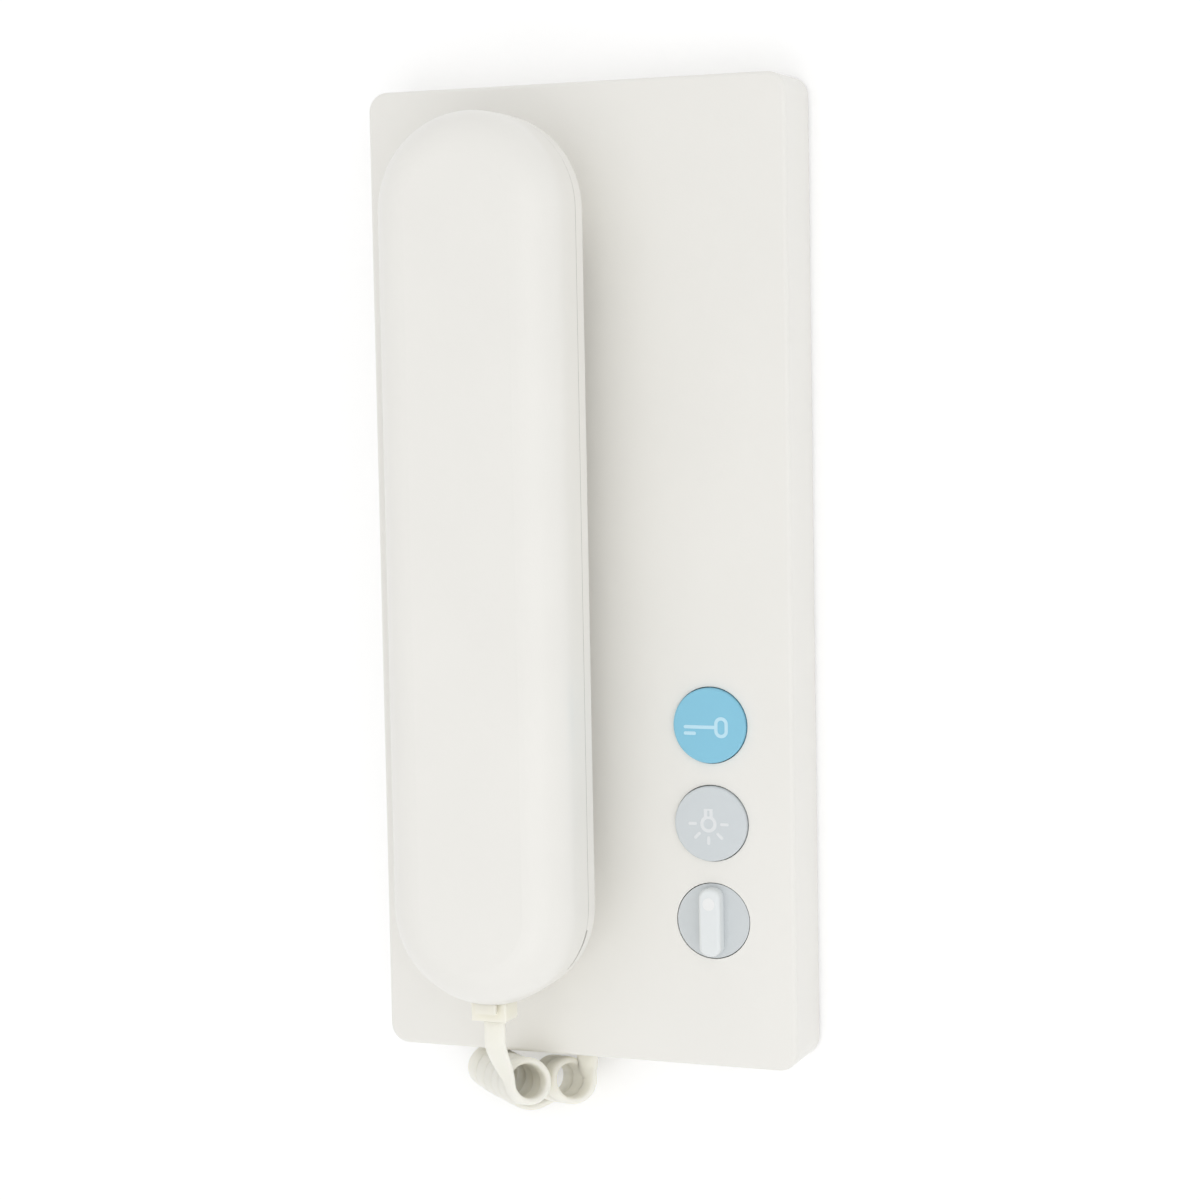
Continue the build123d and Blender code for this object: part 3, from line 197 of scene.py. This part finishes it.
def brushed(name, colour, roughness, stretch=(1, 1, 30)):
    """Metal with fine lines drawn out along one axis."""
    shader = Shader(name, colour, roughness, drift=0.08, Metallic=1.0)
    mapping = shader.node("ShaderNodeMapping")
    mapping.inputs["Scale"].default_value = stretch
    shader.link(shader.place, mapping.inputs["Vector"])
    lines = shader.node("ShaderNodeTexNoise")
    lines.inputs["Scale"].default_value = BRUSH_SCALE
    shader.link(mapping.outputs["Vector"], lines.inputs["Vector"])
    return shader.bump(lines.outputs["Fac"], BRUSH_DEPTH, BRUSH_STRENGTH).material


def raised_bar(name, colour, bar_colour, roughness):
    """The knob: one moulding with a paler bar that stands on its disc."""
    shader = Shader(name, colour, roughness, drift=0.012)
    return shader.tint_raised(bar_colour, KNOB_DISC).grain(2200.0, 0.00005).material


def shell(name, colour, seam_shade, roughness):
    """Glossy moulded plastic, with painted shade: a darker line at the handset's seam that stands in
    for the shadow in its gap.
    """
    shader = Shader(name, colour, roughness, drift=0.008)
    # The band at the seam's depth takes a darker colour, painted shade for the shadow inside the
    # seam's gap.
    return shader.tint_band(seam_shade, SEAM, SEAM_SHADE_HALF_WIDTH).grain(2600.0, 0.00004).material


looks = {
    # white_shell's second colour is painted shade for the shadow in the handset's seam.
    "white_shell": shell("white_shell", linear(242, 240.5, 235.5), linear(172, 170, 164), 0.34),
    "back_plastic": moulded("back_plastic", linear(226, 226, 221), 0.55),
    "steel": brushed("steel", linear(176, 176, 178), 0.32),
    "weight_steel": brushed("weight_steel", linear(150, 150, 152), 0.45),
    "speaker_steel": brushed("speaker_steel", linear(168, 168, 170), 0.38, (30, 1, 30)),
    "spring_steel": brushed("spring_steel", linear(190, 190, 192), 0.28, (1, 30, 1)),
    "board_green": moulded("board_green", linear(36, 98, 58), 0.38, 900.0, 0.00003, drift=0.12),
    "terminal_plastic": moulded("terminal_plastic", linear(58, 124, 82), 0.5),
    "black_plastic": moulded("black_plastic", linear(34, 34, 36), 0.45, drift=0.08),
    "capacitor_sleeve": moulded("capacitor_sleeve", linear(38, 42, 66), 0.3, drift=0.1),
    "cone_film": moulded("cone_film", linear(52, 52, 54), 0.7, 1500.0, 0.0001, drift=0.15),
    "magnet": moulded("magnet", linear(60, 60, 62), 0.65, 1200.0, 0.0001, drift=0.15),
    "plunger_plastic": moulded("plunger_plastic", linear(232, 232, 228), 0.4),
    "blue_button": moulded(
        "blue_button", linear(137, 203, 229), 0.42, 2200.0, 0.00005, drift=0.012,
    ),
    "blue_print": moulded("blue_print", linear(196, 234, 250), 0.5, 3000.0, 0.00003),
    "grey_button": moulded(
        "grey_button", linear(213, 219, 222), 0.42, 2200.0, 0.00005, drift=0.012,
    ),
    "grey_print": moulded("grey_print", linear(232, 235, 237), 0.5, 3000.0, 0.00003),
    "grey_knob": raised_bar("grey_knob", linear(211, 216, 218), linear(234, 238, 239), 0.4),
    "dot_print": moulded("dot_print", linear(244, 245, 245), 0.45, 3000.0, 0.00003),
    "lead_sleeve": moulded("lead_sleeve", linear(150, 40, 34), 0.5),
    "foam": moulded("foam", linear(46, 46, 46), 0.9, 1800.0, 0.0003, drift=0.2),
    "boot_rubber": moulded("boot_rubber", linear(38, 38, 38), 0.75, 2000.0, 0.00008, drift=0.12),
    "capsule_aluminium": brushed("capsule_aluminium", linear(202, 202, 204), 0.35),
    "plug_cream": moulded(
        "plug_cream", linear(248, 244, 228), 0.25, drift=0.01,
        Subsurface_Weight=0.5, Subsurface_Scale=0.003, Subsurface_Radius=(1, 1, 1),
    ),
    "cord_cream": moulded(
        "cord_cream", linear(250, 246, 231), 0.4, 1600.0, 0.00006, drift=0.012,
        Subsurface_Weight=0.7, Subsurface_Scale=0.004, Subsurface_Radius=(1, 1, 1),
    ),
}


def subpart_slot(node):
    """The record's material slot of a CAD node."""
    parts = frame["record"]["subparts"]
    return next(part["material_slot"] for part in parts if part["node"] == node)


for node, piece in frame["nodes"].items():
    for material_slot in piece.material_slots:
        material_slot.material = looks[subpart_slot(node)]


# Springs, each with the body that its front end pushes: each stands on the base as a copy of its CAD
# mesh, in place of the CAD node
SPRINGS = {"key_spring": "key", "light_spring": "light", "hook_spring": "hook"}

for node, follower in SPRINGS.items():
    coil = bpy.data.objects.new(node + "_coil", frame["nodes"][node].data.copy())
    bpy.context.scene.collection.objects.link(coil)
    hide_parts(node)
    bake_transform(coil)


# Curly cord: a flat cord wound on two legs; its line is one spline from plug to plug


def on_axis(axis, along):
    """Point and unit direction of a leg's curved axis, at 0 to 1 along it."""
    start, bend, end = (np.array(place) for place in axis)
    point = start * (1 - along) ** 2 + bend * (2 * along * (1 - along)) + end * along ** 2
    forward = (bend - start) * (1 - along) + (end - bend) * along
    return point, forward / np.linalg.norm(forward)


def coil_points(axis, turns, first_angle, turning):
    """Control points of a leg's coil, each with the way that the cord's width lies there.

    Turning is 1 where the axis runs away from the viewer and -1 where it runs back.
    """
    count = round(turns * POINTS_PER_TURN)
    radius = COIL_RADIUS / math.cos(math.pi / POINTS_PER_TURN)
    rows = []
    for index in range(count + 1):
        centre, forward = on_axis(axis, index / count)
        right = np.cross(forward * turning, (0, 0, 1))
        right /= np.linalg.norm(right)
        up = np.cross(right, forward * turning)
        angle = math.radians(first_angle) + 2 * math.pi * index / POINTS_PER_TURN
        outward = right * math.cos(angle) + up * math.sin(angle)
        rows.append((centre + outward * radius, -forward * turning))
    return rows


ACROSS = np.array((1.0, 0.0, 0.0))
handset_end = np.array(HANDSET_END)
base_end = np.array(BASE_END)
down = np.array((0.0, 0.0, -1.0))
left_leg = coil_points(LEFT_AXIS, LEFT_TURNS, LEFT_FIRST_ANGLE, 1)
right_leg = coil_points(RIGHT_AXIS, RIGHT_TURNS, RIGHT_FIRST_ANGLE, -1)
bridge_side = left_leg[-1][1] + right_leg[0][1]
route = [
    (handset_end, ACROSS),
    *((handset_end + down * LEAD_IN * share, ACROSS) for share in HANDSET_LEAD_SHARES),
    (handset_end + LEAD_OVER, ACROSS * 2 + left_leg[0][1]),
    *left_leg,
    (np.array(BRIDGE_LEFT), bridge_side),
    (np.array(BRIDGE_RIGHT), bridge_side),
    *right_leg,
    (base_end + down * LEAD_IN * BASE_LEAD_SHARES[0], ACROSS + right_leg[-1][1]),
    (base_end + down * LEAD_IN * BASE_LEAD_SHARES[1], ACROSS),
    (base_end, ACROSS),
]


def spline_points(places, name):
    """Points along a smooth NURBS line with these control points."""
    curve = bpy.data.curves.new(name, "CURVE")
    curve.dimensions = "3D"
    curve.resolution_u = LINE_STEPS
    spline = curve.splines.new("NURBS")
    spline.points.add(len(places) - 1)
    for point, place in zip(spline.points, places):
        point.co = (*place, 1.0)
    spline.order_u = 3
    spline.use_endpoint_u = True
    holder = bpy.data.objects.new(name, curve)
    mesh = bpy.data.meshes.new_from_object(holder)
    points = np.array([tuple(vertex.co) for vertex in mesh.vertices])
    bpy.data.objects.remove(holder)
    bpy.data.curves.remove(curve)
    bpy.data.meshes.remove(mesh)
    return points


def flat_section(width, thickness):
    """Outline of the flat cord: straight faces with well rounded edges."""
    def squared(share):
        return math.copysign(abs(share) ** SECTION_ROUNDNESS, share)

    angles = [2 * math.pi * index / SECTION_STEPS for index in range(SECTION_STEPS)]
    return [
        (squared(math.cos(angle)) * width / 2, squared(math.sin(angle)) * thickness / 2)
        for angle in angles
    ]


def ribbon(name, points, sides, width, thickness):
    """A tube of flat section along points; sides says which way its width lies at each."""
    tangents = np.gradient(points, axis=0)
    tangents /= np.linalg.norm(tangents, axis=1)[:, None]
    outline = flat_section(width, thickness)
    vertices = []
    for point, tangent, side in zip(points, tangents, sides):
        side = side - tangent * side.dot(tangent)
        side /= np.linalg.norm(side)
        face = np.cross(tangent, side)
        vertices += [tuple(point + side * across + face * thick) for across, thick in outline]
    steps = len(outline)
    faces = []
    for ring in range(len(points) - 1):
        for index in range(steps):
            following = (index + 1) % steps
            faces.append((ring * steps + index, ring * steps + following,
                          (ring + 1) * steps + following, (ring + 1) * steps + index))
    faces.append(tuple(reversed(range(steps))))
    faces.append(tuple(range((len(points) - 1) * steps, len(points) * steps)))
    mesh = bpy.data.meshes.new(name)
    mesh.from_pydata(vertices, [], faces)
    for polygon in mesh.polygons:
        polygon.use_smooth = len(polygon.vertices) == 4
    piece = bpy.data.objects.new(name, mesh)
    bpy.context.scene.collection.objects.link(piece)
    return piece


line = spline_points([place * MM for place, _ in route], "cord_line")
sides = np.array([side / np.linalg.norm(side) for _, side in route])

# A point on span n of the line lies between control points n and n + 1, half a span on
where = np.clip(np.linspace(0, len(route) - 2, len(line)) + 0.5, 0, len(route) - 1)
where[0] = 0
line_sides = np.stack(
    [np.interp(where, range(len(route)), sides[:, axis]) for axis in range(3)], axis=1
)
cord = ribbon("cord", line, line_sides, CORD_WIDTH * MM, CORD_THICKNESS * MM)
cord.data.materials.append(looks["cord_cream"])
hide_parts("curly_cord")
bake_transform(cord)


# Backdrop: a white wall behind the part, clear from behind, and a pale floor well below it.
# The part hides a hole in the wall, through which light falls on its back.
WALL_GAP = 0.0006
WALL_SIZE = 4.0
HOLE_HALF = (0.0435, 0.0985)
WALL_LIFT = 0.16
FLOOR_DROP = 0.9
FLOOR_LIFT = 0.12


def stage_plane(name, corners, faces, material):
    mesh = bpy.data.meshes.new(name)
    mesh.from_pydata(corners, [], faces)
    plane = bpy.data.objects.new(name, mesh)
    bpy.context.scene.collection.objects.link(plane)
    mesh.materials.append(material)


def seen_directly(tree):
    """1 for what is seen, directly, in a reflection or through glass; 0 for light on things."""
    rays = tree.nodes.new("ShaderNodeLightPath")
    total = rays.outputs["Is Camera Ray"]
    for name in ("Is Glossy Ray", "Is Transmission Ray"):
        add = tree.nodes.new("ShaderNodeMath")
        add.operation = "MAXIMUM"
        tree.links.new(total, add.inputs[0])
        tree.links.new(rays.outputs[name], add.inputs[1])
        total = add.outputs[0]
    return total


def backdrop(name, colour, lift, clear_behind):
    """Matte white that looks brighter by lift where it is seen, without lighting the part more."""
    material = bpy.data.materials.new(name)
    material.use_nodes = True
    tree = material.node_tree
    nodes, links = tree.nodes, tree.links
    nodes.remove(nodes["Principled BSDF"])
    diffuse = nodes.new("ShaderNodeBsdfDiffuse")
    diffuse.inputs["Color"].default_value = colour
    glow = nodes.new("ShaderNodeEmission")
    scale = nodes.new("ShaderNodeMath")
    scale.operation = "MULTIPLY"
    scale.inputs[1].default_value = lift
    links.new(seen_directly(tree), scale.inputs[0])
    links.new(scale.outputs[0], glow.inputs["Strength"])
    both = nodes.new("ShaderNodeAddShader")
    links.new(diffuse.outputs[0], both.inputs[0])
    links.new(glow.outputs[0], both.inputs[1])
    surface = both.outputs[0]
    if clear_behind:
        geometry = nodes.new("ShaderNodeNewGeometry")
        clear = nodes.new("ShaderNodeBsdfTransparent")
        mix = nodes.new("ShaderNodeMixShader")
        links.new(geometry.outputs["Backfacing"], mix.inputs["Fac"])
        links.new(surface, mix.inputs[1])
        links.new(clear.outputs[0], mix.inputs[2])
        surface = mix.outputs[0]
    links.new(surface, nodes["Material Output"].inputs["Surface"])
    return material


def upright(left, right, bottom, top):
    """Corners of a rectangle in the wall's plane."""
    places = ((left, bottom), (right, bottom), (right, top), (left, top))
    return [(x, WALL_GAP, z) for x, z in places]


half = WALL_SIZE / 2
hole_x, hole_z = HOLE_HALF
stage_plane(
    "wall",
    upright(-half, half, -FLOOR_DROP, half) + upright(-hole_x, hole_x, -hole_z, hole_z),
    [(0, 1, 5, 4), (1, 2, 6, 5), (2, 3, 7, 6), (3, 0, 4, 7)],
    backdrop("wall_white", linear(250, 250, 250), WALL_LIFT, True),
)
stage_plane(
    "floor",
    [(x, y, -FLOOR_DROP) for x, y in ((-half, -half), (half, -half), (half, half), (-half, half))],
    [(0, 1, 2, 3)],
    backdrop("floor_pale", linear(246, 246, 246), FLOOR_LIFT, False),
)


# Light: a soft white surround and large soft lamps, in front and mostly from below
SURROUND = 0.8
LAMPS = {
    # name: place, size and power in watts
    "low": ((0.0, -1.3, -0.7), 1.1, 2.6),
    "low_right": ((0.7, -1.2, -0.6), 1.1, 1.2),
    "right": ((0.85, -1.1, 0.2), 1.2, 1.0),
}

world = bpy.data.worlds.new("studio")
bpy.context.scene.world = world
world.use_nodes = True
background = world.node_tree.nodes["Background"]
background.inputs["Color"].default_value = (1, 1, 1, 1)
level = world.node_tree.nodes.new("ShaderNodeMapRange")
level.inputs["To Min"].default_value = SURROUND
level.inputs["To Max"].default_value = 1.0
world.node_tree.links.new(seen_directly(world.node_tree), level.inputs["Value"])
world.node_tree.links.new(level.outputs["Result"], background.inputs["Strength"])

for name, (place, size, power) in LAMPS.items():
    lamp = bpy.data.lights.new(name, "AREA")
    lamp.shape = "DISK"
    lamp.size = size
    lamp.energy = power
    holder = bpy.data.objects.new(name, lamp)
    holder.location = place
    holder.rotation_euler = (-Vector(place)).to_track_quat("-Z", "Y").to_euler()
    bpy.context.scene.collection.objects.link(holder)


# Camera: looks along a direction turned by yaw, pitch and roll
yaw, pitch, roll = (math.radians(angle) for angle in (CAMERA_YAW, CAMERA_PITCH, CAMERA_ROLL))
forward = Vector((
    -math.sin(yaw) * math.cos(pitch), math.cos(yaw) * math.cos(pitch), -math.sin(pitch),
))
level_right = Vector((math.cos(yaw), math.sin(yaw), 0))
level_up = level_right.cross(forward)
right = level_right * math.cos(roll) + level_up * math.sin(roll)
up = level_up * math.cos(roll) - level_right * math.sin(roll)
camera = bpy.data.cameras.new("camera")
camera.lens = CAMERA_LENS
camera.sensor_width = SENSOR_WIDTH
viewer = bpy.data.objects.new("camera", camera)
turned = Matrix((right, up, -forward)).transposed().to_4x4()
viewer.matrix_world = Matrix.Translation(CAMERA_PLACE) @ turned
bpy.context.scene.collection.objects.link(viewer)
bpy.context.scene.camera = viewer
bpy.context.scene.view_settings.view_transform = "Standard"
